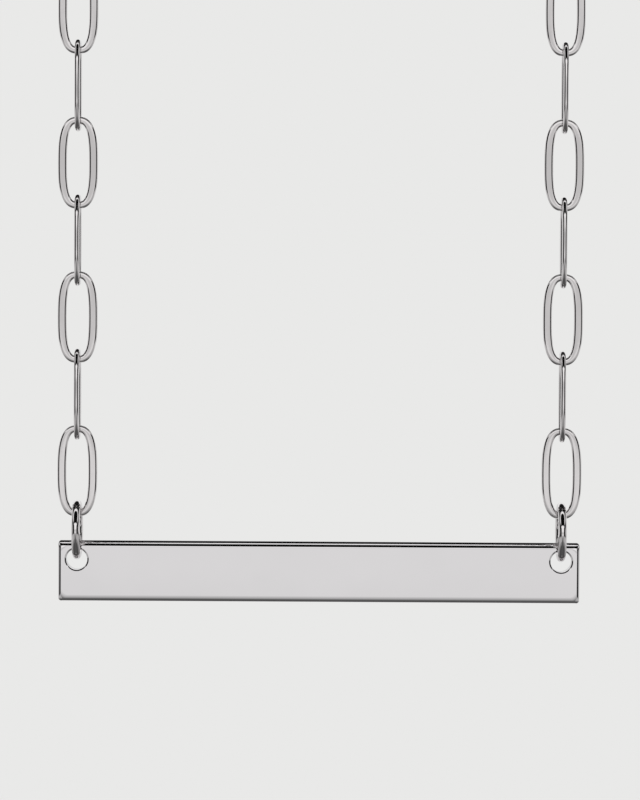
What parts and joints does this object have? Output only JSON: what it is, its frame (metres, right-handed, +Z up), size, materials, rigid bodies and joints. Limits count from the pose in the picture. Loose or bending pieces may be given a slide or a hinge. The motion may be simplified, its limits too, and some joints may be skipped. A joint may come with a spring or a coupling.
{
  "type": "bar pendant necklace",
  "caption": "Slim flat bar pendant with rounded edges, hung level by jump rings at both ends from a long-link chain that makes one closed loop with a plain ring clasp at its top.",
  "frame": {"origin": "inside of the loop at its very top, under the clasp, where a neck or a peg carries the necklace", "axes": "+Z up as it hangs, +X along the bar to the viewer's right, -Y towards the viewer"},
  "size_m": [0.0352, 0.004, 0.207],
  "materials": {
    "bar_metal": "polished sterling silver, flat faces",
    "wire_metal": "polished sterling silver wire",
    "clasp_metal": "polished sterling silver tube"
  },
  "bodies": {
    "necklace": {"ring_left": "wire_metal", "ring_right": "wire_metal", "chain_left": "wire_metal", "chain_right": "wire_metal", "end_ring_left": "wire_metal", "end_ring_right": "wire_metal", "clasp": "clasp_metal"},
    "pendant": {"bar": "bar_metal"}
  },
  "joints": [
    {"name": "bar_swing", "type": "hinge", "parent": "necklace", "child": "pendant", "pos_m": [0, 0, -0.19629], "axis": [1, 0, 0], "range_deg": [-120, 120]}
  ]
}
